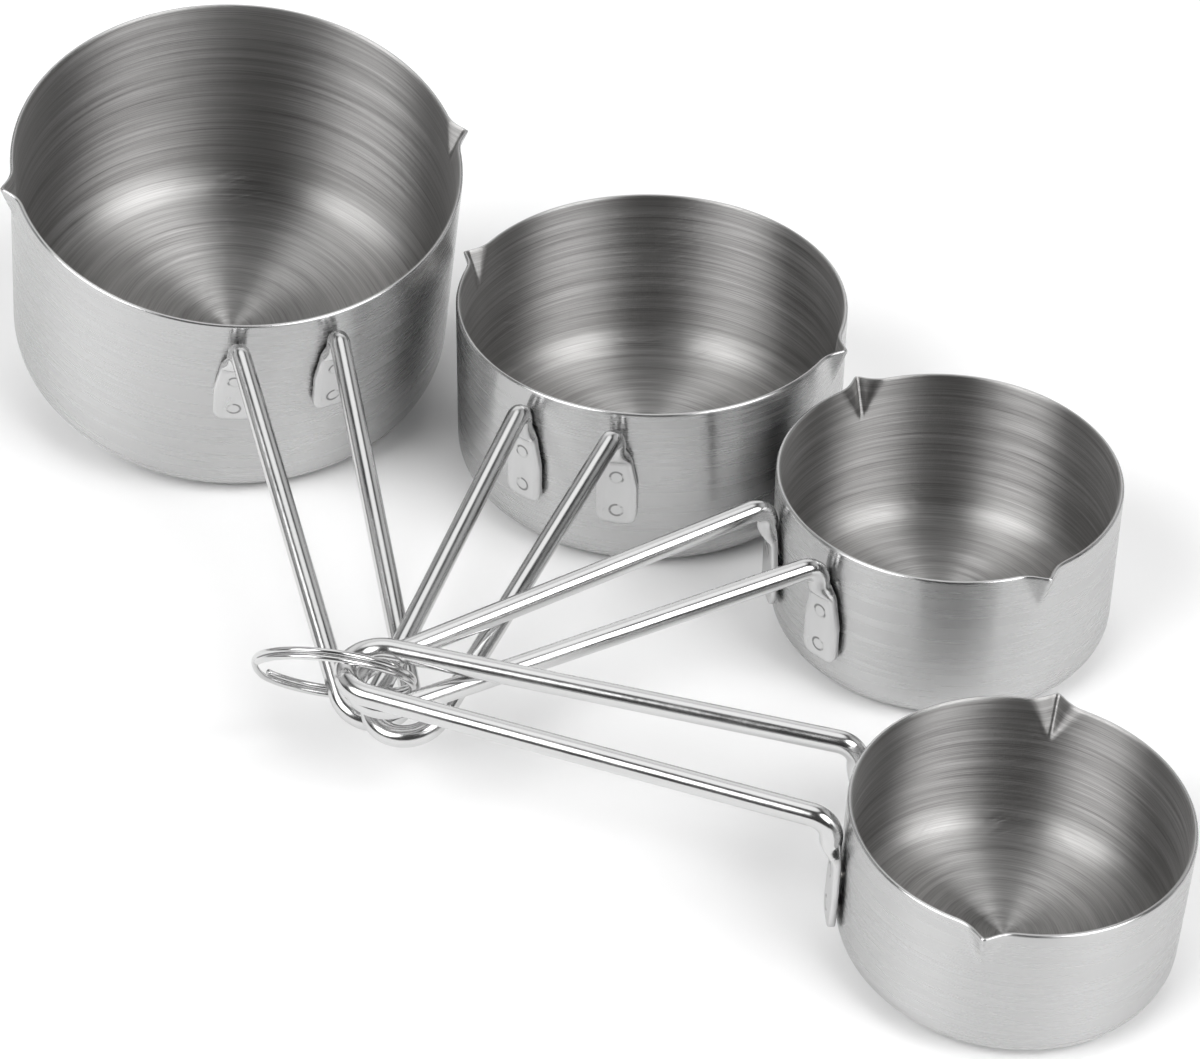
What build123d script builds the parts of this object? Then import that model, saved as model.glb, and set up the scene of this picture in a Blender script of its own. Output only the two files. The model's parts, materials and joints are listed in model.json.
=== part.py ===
from build123d import *
from math import asin, atan2, cos, hypot, radians, sin, sqrt
import os

# A nest of four deep-drawn steel measuring cups, each with a hairpin wire handle spot-welded to its
# wall, threaded on one split ring. Three cups stand flat on the table in a fan around the ring. The
# largest has its handle at the bottom of the stack, so it leans over on the edge of its base.
#
# Millimetres, +Z up, z = 0 is the table, and the origin is the centre of the third cup's base.

# ---------------------------------------------------------------- driving dimensions

SHEET = 0.8             # thickness of the drawn cups
WIRE = 3.6              # diameter of the handle wire

LEG_SPREAD = 17.5       # distance between a handle's two legs at the cup, centre to centre
LOOP_SPREAD = 11.5      # the same at the hairpin end
WALL_OFFSET = 2.0       # a leg's upright end, from its centre to the wall
HANDLE_DROP = 2.6       # the line of the legs meets the upright ends this far below the rim
BEND_RADIUS = 3.4       # centre line of the bend from a leg down to its tab

TAB_THICK = 1.4         # the wire's ends are flattened into tabs
TAB_GAP = 0.3           # space between a tab and the wall, filled at the welds
TAB_TOP = 10.0          # the tab's full section starts this far below the rim
TAB_END = 22.5          # its tip is this far below the rim
TAB_NECK = 5.4          # width at the top
TAB_WIDTH = 7.2         # greatest width
TAB_WIDEST = 14.5       # and how far below the rim
TAB_CORNER = 2.2        # rounding of the tip's corners
FLATTEN_START = 6.6     # the wire is still round this far below the rim
NECK_RISE = 0.2         # the flattening neck starts this far up inside the round wire
NECK_LAP = 1.0          # and ends this far down inside the tab
NECK_INSET = 0.15       # it lies this far inside the surfaces it joins at both ends
WELD_RADIUS = 1.3
WELD_DEPTHS = (12.4, 19.4)      # two spot welds per tab, measured down from the rim

SPOUT_REACH = 2.4       # how far a spout's tip stands out from the wall
SPOUT_WIDTH = 11.0      # its width where it leaves the wall, at the rim
SPOUT_DEPTH = 9.0       # how far it runs down the wall
SPOUT_TIP = 0.8         # rounding of the tip in plan

RING_WIRE = 1.1         # the split ring is two flat turns of this wire
RING_RADIUS = 12.76     # centre line of a turn
RING_STEP_ANGLE = 50    # the wire crosses from one turn to the next in this angle
RING_STEP_AT = 180      # where on the ring it does, from the level diameter
RING_PITCH = 1.13       # distance between the two turns
RING_CENTRE = (-101.31, -41.12, 21.9)
RING_HEADING = -8.58    # direction of the ring's level diameter, from its free side to the handles
RING_INCLINE = 54.26    # slope of the ring's plane

# Each cup: outer radius, height and base corner radius; where its base centre stands; the heading of
# its handle; how far the handle droops from the cup's own base plane; and the handle's length from
# the cup's wall to the end of the hairpin. A leaning cup tips by lean degrees towards lean_heading.
CUPS = {
    "one_cup": dict(
        radius=40.1, height=46.4, corner=6.8, x=-126.7, y=73.0,
        heading=-74.11, droop=9.91, reach=73.08, lean=14.3, lean_heading=-66.7,
    ),
    "half_cup": dict(
        radius=34.7, height=34.3, corner=6.5, x=-48.7, y=46.2,
        heading=-114.76, droop=13.89, reach=69.85, lean=0.0, lean_heading=0.0,
    ),
    "third_cup": dict(
        radius=29.0, height=30.7, corner=6.0, x=0.0, y=0.0,
        heading=-153.93, droop=3.71, reach=78.63, lean=0.0, lean_heading=0.0,
    ),
    "quarter_cup": dict(
        radius=26.2, height=26.9, corner=5.5, x=2.8, y=-78.9,
        heading=162.45, droop=0.06, reach=80.55, lean=2.0, lean_heading=-16.8,
    ),
}


# ---------------------------------------------------------------- frames and outlines

def cup_plane(cup):
    """The cup's own frame: origin at its base centre, x towards its handle, z up its axis.

    A leaning cup stands on the rounded edge of its base, so its base centre is lifted off the table.
    """
    tip_axis = Axis((0, 0, 0), (-sin(radians(cup["lean_heading"])), cos(radians(cup["lean_heading"])), 0))
    towards_handle = Vector(cos(radians(cup["heading"])), sin(radians(cup["heading"])), 0)
    lean = radians(cup["lean"])
    corner = cup["corner"]
    lift = corner + (cup["radius"] - corner) * sin(lean) - corner * cos(lean)
    return Plane(
        origin=(cup["x"], cup["y"], lift),
        x_dir=towards_handle.rotate(tip_axis, cup["lean"]),
        z_dir=Vector(0, 0, 1).rotate(tip_axis, cup["lean"]),
    )


def upright_plane(base):
    """A plane through the cup's axis: x runs out towards the handle and y up the axis."""
    return Plane(origin=base.origin, x_dir=base.x_dir, z_dir=-base.y_dir)


def bowl_outline(base, radius, floor, corner, top):
    """Half the section of a round flat-bottomed bowl, filled in, from its axis outwards."""
    with BuildSketch(upright_plane(base)) as outline:
        with BuildLine():
            Line((0, floor), (radius - corner, floor))
            JernArc((radius - corner, floor), (1, 0), corner, 90)
            Line((radius, floor + corner), (radius, top))
            Line((radius, top), (0, top))
            Line((0, top), (0, floor))
        make_face()
    return outline.sketch


def spout_mouth(rim, wall_radius, reach, side):
    """The plan of one pouring spout at the rim: a V with a rounded tip, rooted inside the wall."""
    half = SPOUT_WIDTH / 2
    root = sqrt(wall_radius**2 - half**2) - SHEET / 2
    with BuildSketch(rim) as mouth:
        with BuildLine():
            Polyline(
                (-half, side * root), (0, side * (wall_radius + reach)), (half, side * root), close=True
            )
        make_face()
        fillet(mouth.vertices().sort_by(Axis(rim.origin, side * rim.y_dir))[-1], SPOUT_TIP)
    return mouth.sketch


# ---------------------------------------------------------------- the drawn cup

def make_shell(cup):
    """Deep-drawn cup with a thin wall, a flat floor and two pouring spouts across its handle."""
    base = cup_plane(cup)
    axis = Axis(base.origin, base.z_dir)
    radius = cup["radius"]
    height = cup["height"]
    rim = base.offset(height)

    with BuildPart() as shell:
        revolve(bowl_outline(base, radius, 0, cup["corner"], height), axis=axis)
        for side in (-1, 1):
            foot = base.from_local_coords(Vector(0, side * (radius - SHEET / 2), height - SPOUT_DEPTH))
            loft([spout_mouth(rim, radius, SPOUT_REACH, side), Vertex(foot.X, foot.Y, foot.Z)])
        revolve(
            bowl_outline(base, radius - SHEET, SHEET, cup["corner"] - SHEET, height),
            axis=axis,
            mode=Mode.SUBTRACT,
        )
        for side in (-1, 1):
            inner = radius - SHEET
            foot = base.from_local_coords(Vector(0, side * (inner - SHEET), height - SPOUT_DEPTH))
            loft(
                [spout_mouth(rim, inner, SPOUT_REACH, side), Vertex(foot.X, foot.Y, foot.Z)],
                mode=Mode.SUBTRACT,
            )
    return shell.part


# ---------------------------------------------------------------- the wire handle

def tab_plane(cup, side):
    """Frame of one tab: origin on the rim's level at its middle, x across it, z out from the cup."""
    base = cup_plane(cup)
    middle = cup["radius"] + TAB_GAP + TAB_THICK / 2
    swing = asin(side * LEG_SPREAD / 2 / middle)
    outwards = base.x_dir * cos(swing) + base.y_dir * sin(swing)
    rim_point = base.origin + base.z_dir * cup["height"] + outwards * middle
    return Plane(origin=rim_point, x_dir=base.z_dir.cross(outwards), z_dir=outwards)


def handle_path(cup):
    """Centre line of the round wire: up from one tab, round the hairpin and down to the other."""
    base = cup_plane(cup)
    half = LEG_SPREAD / 2
    loop = LOOP_SPREAD / 2
    root = sqrt((cup["radius"] + WALL_OFFSET) ** 2 - half**2)
    level = cup["height"] - HANDLE_DROP
    droop = radians(cup["droop"])

    # The legs and the hairpin lie in one plane, which droops away from the cup.
    along = base.x_dir * cos(droop) - base.z_dir * sin(droop)
    legs = Plane(
        origin=base.from_local_coords(Vector(root, 0, level)), x_dir=along, z_dir=along.cross(base.y_dir)
    )
    centre = cup["reach"] - loop
    taper = atan2(half, centre) - asin(loop / hypot(half, centre))
    trim = BEND_RADIUS * sin(radians(45) - droop / 2) / cos(radians(45) - droop / 2)

    def point(x, y):
        return legs.from_local_coords(Vector(x, y, 0))

    def leg_start(side):
        corner = point(0, side * half)
        inwards = (point(centre, side * loop) - corner).normalized()
        return corner + inwards * trim, corner - base.z_dir * trim

    with BuildLine() as path:
        near, upright = leg_start(1)
        far, upright_far = leg_start(-1)
        Line(upright - base.z_dir * (FLATTEN_START - HANDLE_DROP - trim), upright)
        TangentArc(upright, near, tangent=base.z_dir)
        loop_in = point(centre + loop * sin(taper), loop * cos(taper))
        loop_out = point(centre + loop * sin(taper), -loop * cos(taper))
        Line(near, loop_in)
        ThreePointArc(loop_in, point(centre + loop, 0), loop_out)
        Line(loop_out, far)
        TangentArc(upright_far, far, tangent=base.z_dir)
        Line(upright_far, upright_far - base.z_dir * (FLATTEN_START - HANDLE_DROP - trim))
    return path.wires()[0]


def tab_outline(plane):
    """The flattened end seen from outside: it widens from its neck and has rounded corners at its tip."""
    with BuildSketch(plane) as outline:
        with BuildLine():
            Polyline(
                (-TAB_NECK / 2, -TAB_TOP),
                (TAB_NECK / 2, -TAB_TOP),
                (TAB_WIDTH / 2, -TAB_WIDEST),
                (TAB_WIDTH / 2 - 0.5, -TAB_END),
                (-TAB_WIDTH / 2 + 0.5, -TAB_END),
                (-TAB_WIDTH / 2, -TAB_WIDEST),
                close=True,
            )
        make_face()
        fillet(outline.vertices().group_by(Axis(plane.origin, plane.y_dir))[0], TAB_CORNER)
    return outline.sketch


def make_handle(cup):
    """Hairpin of one bent wire, its two ends flattened into tabs against the cup's wall."""
    path = handle_path(cup)
    start = Plane(origin=path @ 0, z_dir=path % 0)
    base = cup_plane(cup)
    with BuildPart() as handle:
        with BuildSketch(start):
            Circle(WIRE / 2)
        sweep(path=path)
        for side, wire_end in ((1, path @ 0), (-1, path @ 1)):
            tab = tab_plane(cup, side)
            extrude(tab_outline(tab.offset(-TAB_THICK / 2)), amount=TAB_THICK)
            neck_start = wire_end + base.z_dir * NECK_RISE
            with BuildSketch(Plane(origin=neck_start, x_dir=tab.x_dir, z_dir=-base.z_dir)) as round_end:
                Circle(WIRE / 2 - NECK_INSET)
            neck_centre = tab.from_local_coords(Vector(0, -TAB_TOP - NECK_LAP, 0))
            with BuildSketch(Plane(origin=neck_centre, x_dir=tab.x_dir, z_dir=-base.z_dir)) as flat_end:
                Ellipse(TAB_NECK / 2 - NECK_INSET, TAB_THICK / 2 - NECK_INSET)
            loft([round_end.sketch, flat_end.sketch])
    return handle.part


def make_welds(cup, side):
    """The nuggets of one tab's spot welds, between the tab's back and the cup's wall."""
    base = cup_plane(cup)
    tab_back = tab_plane(cup, side).offset(-TAB_THICK / 2)
    with BuildPart() as welds:
        with BuildSketch(tab_back):
            with Locations(*[(0, -depth) for depth in WELD_DEPTHS]):
                Circle(WELD_RADIUS)
        extrude(amount=-(TAB_GAP + SHEET / 4))
        with BuildSketch(base):
            Circle(cup["radius"])
        extrude(amount=cup["height"], mode=Mode.SUBTRACT)
    return welds.part


# ---------------------------------------------------------------- the split ring

def make_split_ring():
    """Two flat turns of wire side by side, joined by a short step from one turn to the other."""
    heading = radians(RING_HEADING)
    incline = radians(RING_INCLINE)
    level = Vector(cos(heading), sin(heading), 0)
    rising = Vector(sin(heading) * cos(incline), -cos(heading) * cos(incline), sin(incline))
    ring = Plane(origin=RING_CENTRE, x_dir=level, z_dir=level.cross(rising))
    half_step = RING_STEP_ANGLE / 2
    lower = ring.offset(-RING_PITCH / 2)
    upper = ring.offset(RING_PITCH / 2)

    def on_turn(turn, angle):
        return turn.from_local_coords(
            Vector(RING_RADIUS * cos(radians(angle)), RING_RADIUS * sin(radians(angle)), 0)
        )

    def tangent(angle):
        return ring.x_dir * -sin(radians(angle)) + ring.y_dir * cos(radians(angle))

    with BuildLine() as path:
        first = RING_STEP_AT + half_step
        last = RING_STEP_AT - half_step
        ThreePointArc(on_turn(lower, first), on_turn(lower, RING_STEP_AT + 180), on_turn(lower, last + 360))
        Spline(
            on_turn(lower, last),
            on_turn(ring, RING_STEP_AT),
            on_turn(upper, first),
            tangents=[tangent(last), tangent(first)],
        )
        ThreePointArc(on_turn(upper, first), on_turn(upper, RING_STEP_AT + 180), on_turn(upper, last + 360))
    with BuildPart() as split_ring:
        with BuildSketch(Plane(origin=path.wires()[0] @ 0, z_dir=path.wires()[0] % 0)):
            Circle(RING_WIRE / 2)
        sweep(path=path.wires()[0])
    return split_ring.part


# ---------------------------------------------------------------- build and write

def save(part, name):
    part.label = name
    export_step(part, f"parts/{name}.step")


os.makedirs("parts", exist_ok=True)
for cup_name, cup in CUPS.items():
    save(make_shell(cup), f"{cup_name}_shell")
    save(make_handle(cup), f"{cup_name}_handle")
    for side, side_name in ((1, "left"), (-1, "right")):
        save(make_welds(cup, side), f"{cup_name}_{side_name}_welds")
save(make_split_ring(), "split_ring")
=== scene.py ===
import json
import math

import bpy
import numpy as np
from mathutils import Matrix, Vector


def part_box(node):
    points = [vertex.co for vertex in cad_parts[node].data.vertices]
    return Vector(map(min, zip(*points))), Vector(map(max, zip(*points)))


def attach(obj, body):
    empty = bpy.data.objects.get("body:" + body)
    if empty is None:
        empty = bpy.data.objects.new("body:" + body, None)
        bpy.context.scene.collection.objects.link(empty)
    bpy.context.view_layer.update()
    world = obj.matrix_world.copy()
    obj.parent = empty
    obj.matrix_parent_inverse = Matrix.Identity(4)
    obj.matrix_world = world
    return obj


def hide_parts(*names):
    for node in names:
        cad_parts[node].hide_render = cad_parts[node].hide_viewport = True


# The looks of four drawn steel measuring cups fanned out on a split ring: bowls with rounded rims and
# pouring spouts, hairpin wire handles whose ends flatten into tabs, brushed and polished steel.
# Lengths are in millimetres until a mesh is written.

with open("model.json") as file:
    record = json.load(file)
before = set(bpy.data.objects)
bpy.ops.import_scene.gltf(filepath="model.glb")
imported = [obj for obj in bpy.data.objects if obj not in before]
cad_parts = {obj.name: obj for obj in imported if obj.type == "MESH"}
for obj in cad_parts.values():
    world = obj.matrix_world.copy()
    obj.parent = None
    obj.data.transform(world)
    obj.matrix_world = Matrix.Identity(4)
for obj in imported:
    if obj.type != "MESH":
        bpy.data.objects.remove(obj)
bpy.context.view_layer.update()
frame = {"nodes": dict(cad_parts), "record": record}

# ---------------------------------------------------------------- driving dimensions

MM = 0.001
SHEET = 0.8             # thickness of the drawn cups

WIRE_RADIUS = 1.8
LEG_SPREAD = 17.5       # distance between a handle's two legs at the cup
LOOP_SPREAD = 11.5      # the same at the hairpin end
WALL_OFFSET = 2.0       # from a leg's upright end to the wall
HANDLE_DROP = 2.6       # the line of the legs meets the upright ends this far below the rim
BEND_RADIUS = 3.4

TAB_OFFSET = 1.0        # middle of a tab's thickness to the wall
TAB_HALF_THICK = 0.7
TAB_HALF_NECK = 2.7
TAB_HALF_WIDTH = 3.6
TAB_CORNER = 2.2        # radius of the two corners at a tab's tip
TAB_TIP = 0.985         # share of the corner at which the tip is cut off square
THINNING = 0.35         # share of its thickness that a tab loses at the tip
THINNING_FROM = 0.8     # share of the corner at which that starts
STRIP_POWER = 5.0       # how square a tab's section is, where 2 is an ellipse

# Depths below the rim.
FLATTEN_START = 6.3
TAB_TOP = 10.0          # the wire is flat from here down
TAB_WIDEST = 14.5
TAB_END = 22.4
WELD_DEPTHS = (12.4, 19.4)
WELD_MARK_RADIUS = 1.15

SPOUT_REACH = 2.4
SPOUT_HALF_WIDTH = 4.8
SPOUT_DEPTH = 7.5
SPOUT_TIP = 0.3         # softens the edge where the flanks meet
SPOUT_HOLLOW = 2.4      # power that hollows the flanks, where 1 leaves them straight
SPOUT_MARGIN = 0.5      # wall below a spout that is cut as finely as the spout

RING_RADIUS = 12.76
RING_WIRE_RADIUS = 0.5
RING_PITCH = 1.05
RING_STEP = 50.0        # degrees in which the ring's wire crosses to its second turn
RING_STEP_AT = 180.0    # degrees round the ring, from level on the right, to the middle of that step

HATCH_SWING = 7.0       # how far the cross scratches wander up and down the wall
HATCH_WAVES = 3         # how often they do so on the way round

# Each cup: outer radius, height, base corner radius, the heading of its handle, how far the handle
# droops, its length from the leg's upright end to the hairpin's end, and how far and which way the
# cup leans. Angles are in degrees.
CUPS = {
    "one_cup": dict(radius=40.1, height=46.4, corner=6.8, heading=-74.11, droop=9.91, reach=73.08,
                    lean=14.3, lean_heading=-66.7),
    "half_cup": dict(radius=34.7, height=34.3, corner=6.5, heading=-114.76, droop=13.89, reach=69.85,
                     lean=0.0, lean_heading=0.0),
    "third_cup": dict(radius=29.0, height=30.7, corner=6.0, heading=-153.93, droop=3.71, reach=78.63,
                      lean=0.0, lean_heading=0.0),
    "quarter_cup": dict(radius=26.2, height=26.9, corner=5.5, heading=162.45, droop=0.06, reach=80.55,
                        lean=2.0, lean_heading=-16.8),
}

# How finely the meshes are cut: points along each stretch, and sides or columns round it.
BOWL_COLUMNS = 384
CORNER_POINTS = 13
WALL_POINTS = 8
SPOUT_POINTS = 22
RIM_POINTS = 7
FLOOR_POINTS = 9
TIP_POINTS = 9
TAB_POINTS = 16
NECK_POINTS = 9
BEND_POINTS = 12
LEG_POINTS = 30
HAIRPIN_POINTS = 40
TWIST_FREE = 45         # points at each end of a handle, its tab and bend, that take no twist
HANDLE_SIDES = 32
RING_TURN_POINTS = 180
RING_STEP_POINTS = 30
RING_SIDES = 20


# ---------------------------------------------------------------- node helpers

def add(tree, kind, inputs=None, **settings):
    """A node with its settings and inputs; an input may be a value or another node's output."""
    node = tree.nodes.new(kind)
    for name, value in settings.items():
        setattr(node, name, value)
    for name, value in (inputs or {}).items():
        if isinstance(value, bpy.types.NodeSocket):
            tree.links.new(value, node.inputs[name])
        else:
            node.inputs[name].default_value = value
    return node


def math_node(tree, operation, *values):
    return add(tree, "ShaderNodeMath", dict(enumerate(values)), operation=operation).outputs[0]


def plus(tree, base, value, weight):
    """The base, and the value times its weight on top."""
    return math_node(tree, "MULTIPLY_ADD", value, weight, base)


def noise(tree, vector, stretch, detail=2.0):
    """Noise whose grain is stretched: stretch is its frequency along each part of the vector."""
    scaled = add(tree, "ShaderNodeVectorMath", {0: vector, 1: stretch}, operation="MULTIPLY")
    grain = add(tree, "ShaderNodeTexNoise", {"Vector": scaled.outputs[0], "Scale": 1.0, "Detail": detail})
    return grain.outputs["Fac"]


def remap(tree, value, low, high, out_low, out_high, smooth=False):
    """The value brought from the range low to high into out_low to out_high, and held inside it."""
    return add(
        tree, "ShaderNodeMapRange",
        {"Value": value, "From Min": low, "From Max": high, "To Min": out_low, "To Max": out_high},
        interpolation_type="SMOOTHSTEP" if smooth else "LINEAR",
    ).outputs["Result"]


def mix_colours(tree, share, first, second):
    """From the first colour to the second; each is red, green and blue, or another node's output."""
    colours = [
        colour if isinstance(colour, bpy.types.NodeSocket) else (*colour, 1.0) for colour in (first, second)
    ]
    mix = add(tree, "ShaderNodeMix", {0: share, 6: colours[0], 7: colours[1]}, data_type="RGBA")
    return mix.outputs[2]


def grey(level):
    return (level, level, level)


def new_material(name, metallic=1.0):
    material = bpy.data.materials.new(name)
    material.use_nodes = True
    tree = material.node_tree
    shader = tree.nodes["Principled BSDF"]
    shader.inputs["Metallic"].default_value = metallic
    return material, tree, shader


def add_bump(tree, shader, height, strength, distance):
    bump = add(tree, "ShaderNodeBump", {"Height": height, "Strength": strength, "Distance": distance * MM})
    tree.links.new(bump.outputs[0], shader.inputs["Normal"])


# ---------------------------------------------------------------- materials

def brushed_bowl_steel():
    """Drawn cup: fine brushing round its axis, strong inside and faint outside, with random scratches, and
    painted shade that makes the inside's colour darker than the outside's.
    """
    material, tree, shader = new_material("brushed_bowl_steel")
    brush = add(tree, "ShaderNodeAttribute", attribute_name="brush").outputs["Vector"]
    inside = add(tree, "ShaderNodeAttribute", attribute_name="inside").outputs["Fac"]
    hatch = add(tree, "ShaderNodeAttribute", attribute_name="hatch").outputs["Vector"]
    # The first two frequencies go round the cup, per radius. The third goes along its section, per mm.
    fine = noise(tree, brush, (1.6, 1.6, 8.0), 4.0)
    broad = noise(tree, brush, (0.9, 0.9, 1.1), 3.0)
    arcs = noise(tree, hatch, (2.4, 2.4, 12.0), 2.0)
    streaks = plus(tree, fine, broad, 0.8)
    scratch = math_node(tree, "MULTIPLY", remap(tree, arcs, 0.58, 0.68, 0.0, 1.0), inside)

    rough_in = remap(tree, streaks, 0.6, 1.2, 0.40, 0.50)
    rough_out = remap(tree, broad, 0.3, 0.7, 0.24, 0.30)
    rough = add(tree, "ShaderNodeMix", {0: inside, 2: rough_out, 3: rough_in}, data_type="FLOAT").outputs[0]
    tree.links.new(plus(tree, rough, scratch, 0.08), shader.inputs["Roughness"])

    streak_share = remap(tree, streaks, 0.55, 1.25, 0.0, 1.0)
    # Inside colour: real brushing streaks on a base painted darker than the outside, as painted shade
    # inside the bowl.
    streaks_and_painted_shade_in = mix_colours(tree, streak_share, (0.27, 0.265, 0.26), (0.58, 0.575, 0.57))
    tone_out = mix_colours(tree, broad, grey(0.51), grey(0.56))
    tree.links.new(mix_colours(tree, inside, tone_out, streaks_and_painted_shade_in), shader.inputs["Base Color"])

    depth = plus(tree, 0.05, inside, 0.95)
    height = math_node(tree, "MULTIPLY", math_node(tree, "SUBTRACT", streaks, scratch), depth)
    add_bump(tree, shader, height, strength=0.22, distance=0.03)

    shader.inputs["Anisotropic"].default_value = 0.95
    shader.inputs["Anisotropic Rotation"].default_value = 0.25
    tangent = add(tree, "ShaderNodeTangent", direction_type="UV_MAP", uv_map="around")
    tree.links.new(tangent.outputs[0], shader.inputs["Tangent"])
    return material


def weld_marks(tree, tab, flat):
    """1 on the broken rings that spot welds press into a tab, and 0 elsewhere."""
    rings = 0.0
    for depth in WELD_DEPTHS:
        away = add(tree, "ShaderNodeVectorMath", {0: tab, 1: (0.0, depth, 1.0)}, operation="DISTANCE")
        past_ring = math_node(tree, "SUBTRACT", away.outputs["Value"], WELD_MARK_RADIUS)
        off_ring = math_node(tree, "ABSOLUTE", past_ring)
        rings = math_node(tree, "MAXIMUM", rings, remap(tree, off_ring, 0.08, 0.30, 1.0, 0.0, smooth=True))
    broken = remap(tree, noise(tree, tab, (0.55, 0.55, 1.0), 1.0), 0.38, 0.46, 0.15, 1.0)
    rings = math_node(tree, "MULTIPLY", rings, math_node(tree, "GREATER_THAN", flat, 0.5))
    return math_node(tree, "MULTIPLY", rings, broken)


def polished_wire(name, has_tabs):
    """Bright drawn wire: faint lines along it and slightly uneven polish. Tabs carry pressed weld marks."""
    material, tree, shader = new_material(name)
    along = add(tree, "ShaderNodeAttribute", attribute_name="along").outputs["Vector"]
    lines = noise(tree, along, (2.6, 2.6, 0.10), 3.0)
    waves = noise(tree, along, (0.5, 0.5, 0.30), 2.0)
    height = plus(tree, waves, lines, 0.12)
    rough = remap(tree, lines, 0.3, 0.7, 0.13, 0.24)
    tone = mix_colours(tree, lines, grey(0.56), grey(0.68))
    if has_tabs:
        # Across the tab, down from the rim, and 1 on the flat part but 0 on the round wire.
        tab = add(tree, "ShaderNodeAttribute", attribute_name="tab").outputs["Vector"]
        flat = add(tree, "ShaderNodeSeparateXYZ", {0: tab}).outputs["Z"]
        rings = weld_marks(tree, tab, flat)
        pressed = math_node(tree, "GREATER_THAN", flat, 0.02)
        grain = math_node(tree, "MULTIPLY", noise(tree, tab, (1.4, 0.5, 1.0), 4.0), pressed)
        height = plus(tree, height, rings, -3.0)
        height = plus(tree, height, grain, 0.8)
        rough = plus(tree, rough, pressed, 0.14)
        rough = plus(tree, rough, rings, 0.10)
        tone = mix_colours(tree, math_node(tree, "MULTIPLY", rings, 0.85), tone, grey(0.20))
    tree.links.new(rough, shader.inputs["Roughness"])
    tree.links.new(tone, shader.inputs["Base Color"])
    add_bump(tree, shader, height, strength=0.30, distance=0.10)
    return material


def weld_steel():
    """Dull melted steel of the spot welds, seen only edge-on behind the tabs."""
    material, tree, shader = new_material("weld_steel")
    place = add(tree, "ShaderNodeTexCoord").outputs["Object"]
    grain = noise(tree, place, (2500.0, 2500.0, 2500.0), 3.0)
    tone = mix_colours(tree, grain, (0.42, 0.40, 0.38), (0.62, 0.61, 0.60))
    tree.links.new(tone, shader.inputs["Base Color"])
    tree.links.new(remap(tree, grain, 0.3, 0.7, 0.35, 0.55), shader.inputs["Roughness"])
    return material


# ---------------------------------------------------------------- mesh helpers

def write_mesh(name, points, faces, attributes, uv=None):
    """A smooth mesh object from points in millimetres, with vector or number attributes per vertex."""
    mesh = bpy.data.meshes.new(name)
    mesh.from_pydata((np.asarray(points) * MM).tolist(), [], faces)
    for key, values in attributes.items():
        values = np.asarray(values, float)
        if values.ndim == 2:
            layer = mesh.attributes.new(key, "FLOAT_VECTOR", "POINT")
            layer.data.foreach_set("vector", values.ravel())
        else:
            layer = mesh.attributes.new(key, "FLOAT", "POINT")
            layer.data.foreach_set("value", values)
    if uv is not None:
        layer = mesh.uv_layers.new(name="around")
        layer.data.foreach_set("uv", np.asarray(uv, float).ravel())
    mesh.validate()
    mesh.shade_smooth()
    thing = bpy.data.objects.new(name, mesh)
    bpy.context.scene.collection.objects.link(thing)
    return thing


def closed_faces(rows, sides):
    """Faces between rows of points that each go once round, and one face over each end."""
    faces = []
    for i in range(rows - 1):
        for j in range(sides):
            k = (j + 1) % sides
            faces.append((i * sides + j, i * sides + k, (i + 1) * sides + k, (i + 1) * sides + j))
    faces += [tuple(range(sides))[::-1], tuple(range((rows - 1) * sides, rows * sides))]
    return faces


def path_lengths(path):
    """How far along a path each of its points lies."""
    return np.concatenate([[0], np.cumsum(np.linalg.norm(np.diff(path, axis=0), axis=1))])


def smooth_step(share):
    return share * share * (3 - 2 * share)


# ---------------------------------------------------------------- bowls

def cup_axes(cup):
    """Rows x (towards the handle), y and z (up the cup's axis) of a cup's own frame."""
    lean_to = math.radians(cup["lean_heading"])
    tip = Matrix.Rotation(math.radians(cup["lean"]), 3, Vector((-math.sin(lean_to), math.cos(lean_to), 0)))
    turn = Matrix.Rotation(math.radians(cup["heading"]), 3, "Z")
    return np.array(tip @ turn).T


def bowl_rows(cup):
    """The bowl's closed section, as radius and height, and the number of the row at the rim's top.

    It goes from the middle of the underside, over the rim, to the middle of the inner floor.
    """
    radius, height, corner = cup["radius"], cup["height"], cup["corner"]
    inner_radius, inner_corner = radius - SHEET, corner - SHEET
    rim_radius = SHEET / 2
    rim_height = height - rim_radius
    spout_foot = height - SPOUT_DEPTH - SPOUT_MARGIN
    quarter_turn = np.radians(np.linspace(-90, 0, CORNER_POINTS))
    half_turn = np.radians(np.linspace(0, 180, RIM_POINTS))[1:-1]
    wall = list(np.linspace(corner, spout_foot, WALL_POINTS)[1:])
    wall += list(np.linspace(spout_foot, rim_height, SPOUT_POINTS)[1:])

    outside = [(radius * share, 0.0) for share in (0.0, 0.02, 0.3, 0.6)]
    outside += [
        (radius - corner + corner * math.cos(a), corner + corner * math.sin(a)) for a in quarter_turn
    ]
    outside += [(radius, z) for z in wall]
    rim = [
        (radius - rim_radius + rim_radius * math.cos(a), rim_height + rim_radius * math.sin(a))
        for a in half_turn
    ]
    inside = [(inner_radius, z) for z in wall[::-1]]
    inside += [
        (inner_radius - inner_corner + inner_corner * math.cos(a), corner + inner_corner * math.sin(a))
        for a in quarter_turn[::-1]
    ]
    inside += [(inner_radius * share, SHEET) for share in np.linspace(0.8, 0.0, FLOOR_POINTS)[:-1]]
    inside += [(0.02, SHEET), (0.0, SHEET)]
    return outside + rim + inside, len(outside) + len(rim) // 2


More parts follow.
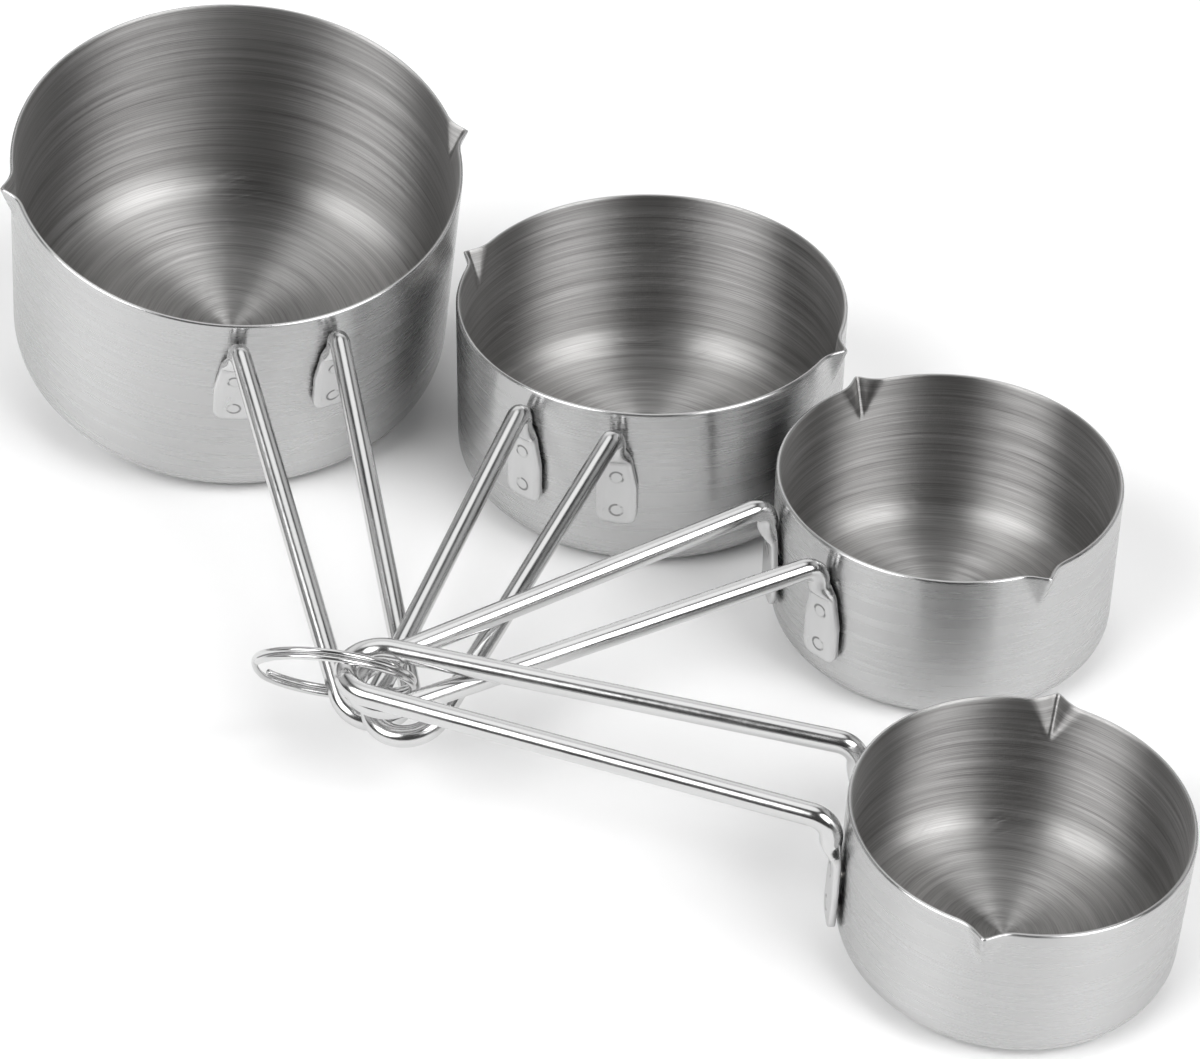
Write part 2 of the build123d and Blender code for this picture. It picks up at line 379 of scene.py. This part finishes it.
def spout_push(cup, r, z, angles):
    """How far the two spouts, square to the handle, push the wall out at each angle."""
    flare = 1 - np.clip((cup["height"] - z) / SPOUT_DEPTH, 0.0, 1.0)
    lateral = np.sqrt((r * np.cos(angles)) ** 2 + SPOUT_TIP ** 2) - SPOUT_TIP
    # The floor under the flare only keeps the division finite where a spout ends.
    aside = np.clip(lateral / (SPOUT_HALF_WIDTH * max(flare, 0.01)), 0.0, 1.0)
    is_wall = r > cup["radius"] - 2 * SHEET
    return SPOUT_REACH * flare * (1 - aside) ** SPOUT_HOLLOW * is_wall


def make_bowl(name, cup):
    """The bowl in its place, and the middle of its underside, where the cup's own frame starts."""
    rows, rim_row = bowl_rows(cup)
    columns = BOWL_COLUMNS
    angles = np.arange(columns) * 2 * math.pi / columns
    lengths = path_lengths(np.array(rows))
    sway = np.stack([np.zeros(columns), np.zeros(columns), HATCH_SWING * np.sin(HATCH_WAVES * angles)], 1)
    points, brush, hatch = [], [], []
    for (r, z), travelled in zip(rows, lengths):
        reach = r + spout_push(cup, r, z, angles)
        points.append(np.stack([reach * np.cos(angles), reach * np.sin(angles), np.full(columns, z)], 1))
        brush.append(np.stack([np.cos(angles), np.sin(angles), np.full(columns, travelled)], 1))
        hatch.append(brush[-1] + sway)
    attributes = {
        "brush": np.concatenate(brush),
        "hatch": np.concatenate(hatch),
        "inside": np.repeat([float(i > rim_row) for i in range(len(rows))], columns),
    }
    uv = []
    for low, high in zip(lengths[:-1] / lengths[-1], lengths[1:] / lengths[-1]):
        for j in range(columns):
            left, right = j / columns, (j + 1) / columns
            uv += [(left, low), (right, low), (right, high), (left, high)]
    uv += [(0.0, 0.0)] * (2 * columns)

    placed = np.concatenate(points) @ cup_axes(cup)
    low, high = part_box(f"{name}_shell")
    origin = np.array((low + high) / 2) / MM - (placed.min(0) + placed.max(0)) / 2
    faces = closed_faces(len(rows), columns)
    return write_mesh(f"{name}_bowl", placed + origin, faces, attributes, uv), origin


# ---------------------------------------------------------------- wire

def arc(start, corner, end, count):
    """Points of the round bend that takes the place of the corner between start and end."""
    inwards, outwards = corner - start, end - corner
    reach = np.linalg.norm(inwards)
    inwards = inwards / reach
    outwards = outwards / np.linalg.norm(outwards)
    half_turn = 0.5 * math.acos(np.clip(inwards @ outwards, -1, 1))
    radius = reach / math.tan(half_turn)
    bisector = outwards - inwards
    bisector /= np.linalg.norm(bisector)
    centre = corner + bisector * radius / math.cos(half_turn)
    spoke = start - centre
    turns = np.linspace(0, 2 * half_turn, count)
    return [centre + spoke * math.cos(t) + inwards * radius * math.sin(t) for t in turns]


def straight(start, end):
    """Points between start and end, without those two."""
    return [start + (end - start) * share for share in np.linspace(0, 1, LEG_POINTS)[1:-1]]


def handle_line(cup, origin):
    """Centre line of a handle from tab tip to tab tip, each point's depth on its tab (or 0), and the
    width axes of the two tabs."""
    x_axis, y_axis, z_axis = cup_axes(cup)
    half, loop = LEG_SPREAD / 2, LOOP_SPREAD / 2
    droop = math.radians(cup["droop"])
    root = math.sqrt((cup["radius"] + WALL_OFFSET) ** 2 - half ** 2)
    start = origin + x_axis * root + z_axis * (cup["height"] - HANDLE_DROP)
    along = x_axis * math.cos(droop) - z_axis * math.sin(droop)
    centre = cup["reach"] - loop
    taper = math.atan2(half, centre) - math.asin(loop / math.hypot(half, centre))
    trim = BEND_RADIUS * math.tan((math.pi / 2 - droop) / 2)
    corner_top = TAB_END - TAB_CORNER
    depths = np.concatenate([
        np.linspace(TAB_END, corner_top, TIP_POINTS),
        np.linspace(corner_top, TAB_TOP, TAB_POINTS)[1:],
        np.linspace(TAB_TOP, FLATTEN_START, NECK_POINTS)[1:],
    ])

    def leg(side):
        """One tab and the bend above it, with the tab's width axis."""
        corner = start + y_axis * side * half
        swing = math.asin(side * half / (cup["radius"] + TAB_OFFSET))
        outwards = x_axis * math.cos(swing) + y_axis * math.sin(swing)
        wire_foot = corner + z_axis * HANDLE_DROP
        tab_foot = origin + z_axis * cup["height"] + outwards * (cup["radius"] + TAB_OFFSET)
        points = []
        for depth in depths:
            share = smooth_step(np.clip((depth - FLATTEN_START) / (TAB_TOP - FLATTEN_START), 0, 1))
            points.append(wire_foot * (1 - share) + tab_foot * share - z_axis * depth)
        towards = (start + along * centre + y_axis * side * loop) - corner
        towards /= np.linalg.norm(towards)
        points += arc(corner - z_axis * trim, corner, corner + towards * trim, BEND_POINTS)
        return points, np.cross(z_axis, outwards)

    left, left_width = leg(1)
    right, right_width = leg(-1)
    turn = np.linspace(math.pi / 2 - taper, taper - math.pi / 2, HAIRPIN_POINTS)
    hairpin = [start + along * (centre + loop * math.cos(a)) + y_axis * loop * math.sin(a) for a in turn]
    out = straight(left[-1], hairpin[0])
    back = straight(hairpin[-1], right[-1])
    line = np.array(left + out + hairpin + back + right[::-1])
    between = np.zeros(len(line) - 2 * len(depths))
    return line, np.concatenate([depths, between, depths[::-1]]), left_width, right_width


def tube_axes(line, first_width, last_width=None):
    """Tangents and width axes along a line. The width axes go on from the first without twisting, or
    twist evenly between the two ends to reach the last."""
    tangents = np.gradient(line, axis=0)
    tangents /= np.linalg.norm(tangents, axis=1)[:, None]
    widths = [first_width - tangents[0] * (first_width @ tangents[0])]
    for tangent in tangents[1:]:
        carried = widths[-1] - tangent * (widths[-1] @ tangent)
        widths.append(carried / np.linalg.norm(carried))
    widths = np.array(widths)
    if last_width is not None:
        side = np.cross(tangents[-1], widths[-1])
        twist = math.atan2(last_width @ side, last_width @ widths[-1])
        twist -= math.pi * round(twist / math.pi)
        share = np.clip((np.arange(len(line)) - TWIST_FREE) / (len(line) - 2 * TWIST_FREE), 0, 1)
        twists = share[:, None] * twist
        widths = widths * np.cos(twists) + np.cross(tangents, widths) * np.sin(twists)
    return tangents, widths


def sweep(name, line, tangents, widths, half_widths, half_thicks, powers, sides, depths=None):
    """A closed tube along a line, whose section at each point has its own half width, half thickness and
    power: 2 is an ellipse and more is squarer. With depths, it also carries a map of the tabs."""
    around = np.arange(sides) * 2 * math.pi / sides
    cos, sin = np.cos(around), np.sin(around)
    thick_axes = np.cross(tangents, widths)
    travelled = path_lengths(line)
    points, along, tabs = [], [], []
    for i, centre in enumerate(line):
        across = np.sign(cos) * np.abs(cos) ** (2 / powers[i]) * half_widths[i]
        through = np.sign(sin) * np.abs(sin) ** (2 / powers[i]) * half_thicks[i]
        points.append(centre + np.outer(across, widths[i]) + np.outer(through, thick_axes[i]))
        along.append(np.stack([cos, sin, np.full(sides, travelled[i])], 1))
        if depths is not None:
            is_flat = float(depths[i] > TAB_TOP - 1)
            tabs.append(np.stack([across, np.full(sides, depths[i]), np.full(sides, is_flat)], 1))
    attributes = {"along": np.concatenate(along)}
    if depths is not None:
        attributes["tab"] = np.concatenate(tabs)
    return write_mesh(name, np.concatenate(points), closed_faces(len(line), sides), attributes)


def make_handle(name, cup, origin):
    """A hairpin of round wire, whose two ends go flat, widen and end in rounded corners."""
    line, depths, left_width, right_width = handle_line(cup, origin)
    tangents, widths = tube_axes(line, left_width, right_width)
    flat = smooth_step(np.clip((depths - FLATTEN_START) / (TAB_TOP - FLATTEN_START), 0, 1))
    spread = np.clip((depths - TAB_TOP) / (TAB_WIDEST - TAB_TOP), 0, 1)
    half_widths = WIRE_RADIUS + flat * (TAB_HALF_NECK - WIRE_RADIUS)
    half_widths += spread * (TAB_HALF_WIDTH - TAB_HALF_NECK)
    past = np.clip((depths - (TAB_END - TAB_CORNER)) / TAB_CORNER, 0, TAB_TIP)
    half_widths -= TAB_CORNER * (1 - np.sqrt(1 - past ** 2))
    half_thicks = WIRE_RADIUS + flat * (TAB_HALF_THICK - WIRE_RADIUS)
    half_thicks *= 1 - THINNING * np.clip((past - THINNING_FROM) / (1 - THINNING_FROM), 0, 1)
    powers = 2 + (STRIP_POWER - 2) * flat
    return sweep(f"{name}_wire_handle", line, tangents, widths, half_widths, half_thicks, powers,
                 HANDLE_SIDES, depths)


def make_ring():
    """Split ring about its own joint's axis: two turns side by side and the step between them."""
    joint = next(j for j in frame["record"]["behaviour"]["joints"] if j["name"] == "ring_turn")
    centre, normal = np.array(joint["pos_m"]) / MM, np.array(joint["axis"])
    level = np.cross(normal, (0, 0, 1))
    level /= np.linalg.norm(level)
    if level[0] < 0:
        level = -level
    rising = np.cross(normal, level)
    half_step = RING_STEP / 2
    start, middle, end = (RING_STEP_AT + 360 * turns for turns in range(3))
    angles = np.concatenate([
        np.linspace(start + half_step, middle - half_step, RING_TURN_POINTS),
        np.linspace(middle - half_step, middle + half_step, RING_STEP_POINTS)[1:-1],
        np.linspace(middle + half_step, end - half_step, RING_TURN_POINTS),
    ])
    share = np.clip((angles - (middle - half_step)) / RING_STEP, 0, 1)
    lift = (smooth_step(share) - 0.5) * RING_PITCH
    turn = np.radians(angles)[:, None]
    line = centre + RING_RADIUS * (np.cos(turn) * level + np.sin(turn) * rising) + lift[:, None] * normal
    tangents, widths = tube_axes(line, normal)
    radii = np.full(len(line), RING_WIRE_RADIUS)
    return sweep("ring_wire", line, tangents, widths, radii, radii, np.full(len(line), 2.0), RING_SIDES)


# ---------------------------------------------------------------- the pieces

bowl_steel = brushed_bowl_steel()
handle_steel = polished_wire("polished_handle_wire", has_tabs=True)
ring_steel = polished_wire("polished_ring_wire", has_tabs=False)
weld_metal = weld_steel()

for cup_name, cup in CUPS.items():
    body = f"{cup_name}_body"
    bowl, origin = make_bowl(cup_name, cup)
    handle = make_handle(cup_name, cup, origin)
    for piece, material, node, slot in (
        (bowl, bowl_steel, "shell", "cup_steel"),
        (handle, handle_steel, "handle", "handle_wire"),
    ):
        piece.data.materials.append(material)
        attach(piece, body)
        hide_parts(f"{cup_name}_{node}")
    for side in ("left", "right"):
        weld = frame["nodes"][f"{cup_name}_{side}_welds"]
        weld.data.materials.clear()
        weld.data.materials.append(weld_metal)

ring = make_ring()
ring.data.materials.append(ring_steel)
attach(ring, "ring_body")
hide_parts("split_ring")

# ---------------------------------------------------------------- floor, light and camera

FLOOR_REACH = 4000.0
FLOOR_POINTS_ACROSS = 9
FLOOR_LEVEL = -0.02     # just under the cups, so that their bases don't flicker against it

ROOM_GLOW = 0.05
# Each light: azimuth from the camera's side towards +x, elevation, the radius that is fully bright and
# the radius where it ends, all in degrees, and its strength.
LIGHTS = (
    (180.0, 76.0, 14.0, 28.0, 1.3),
    (-56.0, 40.0, 12.0, 25.0, 6.2),
    (52.0, 42.0, 12.0, 25.0, 6.2),
    (-115.0, 25.0, 10.0, 30.0, 0.6),
    (118.0, 25.0, 10.0, 30.0, 0.6),
    (180.0, 22.0, 16.0, 40.0, 1.0),
)


def make_floor():
    """A pale floor under the set."""
    count = FLOOR_POINTS_ACROSS
    ticks = np.linspace(-FLOOR_REACH, FLOOR_REACH, count)
    points = [(x, y, FLOOR_LEVEL) for y in ticks for x in ticks]
    faces = [
        (j * count + i, j * count + i + 1, (j + 1) * count + i + 1, (j + 1) * count + i)
        for j in range(count - 1) for i in range(count - 1)
    ]
    floor = write_mesh("studio_floor", points, faces, {})
    material, tree, shader = new_material("pale_floor", metallic=0.0)
    place = add(tree, "ShaderNodeTexCoord").outputs["Object"]
    grain = noise(tree, place, (40.0, 40.0, 40.0), 2.0)
    tree.links.new(mix_colours(tree, grain, grey(0.90), grey(0.93)), shader.inputs["Base Color"])
    shader.inputs["Roughness"].default_value = 0.9
    floor.data.materials.append(material)


def make_light():
    """A dim grey room with large soft lights overhead, at both front corners, at the sides and behind."""
    world = bpy.data.worlds.new("soft_studio")
    world.use_nodes = True
    bpy.context.scene.world = world
    tree = world.node_tree
    direction = add(tree, "ShaderNodeTexCoord").outputs["Generated"]
    total = ROOM_GLOW
    for azimuth, elevation, inner, outer, strength in LIGHTS:
        a, e = math.radians(azimuth), math.radians(elevation)
        towards = (math.sin(a) * math.cos(e), -math.cos(a) * math.cos(e), math.sin(e))
        facing = add(tree, "ShaderNodeVectorMath", {0: direction, 1: towards}, operation="DOT_PRODUCT")
        edge, core = math.cos(math.radians(outer)), math.cos(math.radians(inner))
        glow = remap(tree, facing.outputs["Value"], edge, core, 0.0, strength, smooth=True)
        total = math_node(tree, "ADD", glow, total)
    background = tree.nodes["Background"]
    tree.links.new(total, background.inputs["Strength"])
    background.inputs["Color"].default_value = (1.0, 1.0, 1.0, 1.0)


def make_camera():
    """The photograph's viewpoint."""
    eye = Vector((-68.4, -464.98, 384.92)) * MM
    target = Vector((-68.4, 51.4, 0.0)) * MM
    data = bpy.data.cameras.new("camera")
    data.sensor_width = 36.0
    data.lens = 104.9
    data.shift_x = 0.0496
    data.shift_y = -0.0769
    camera = bpy.data.objects.new("camera", data)
    camera.location = eye
    camera.rotation_euler = (target - eye).to_track_quat("-Z", "Y").to_euler()
    bpy.context.scene.collection.objects.link(camera)
    bpy.context.scene.camera = camera


make_floor()
make_light()
make_camera()
bpy.context.scene.view_settings.view_transform = "Standard"
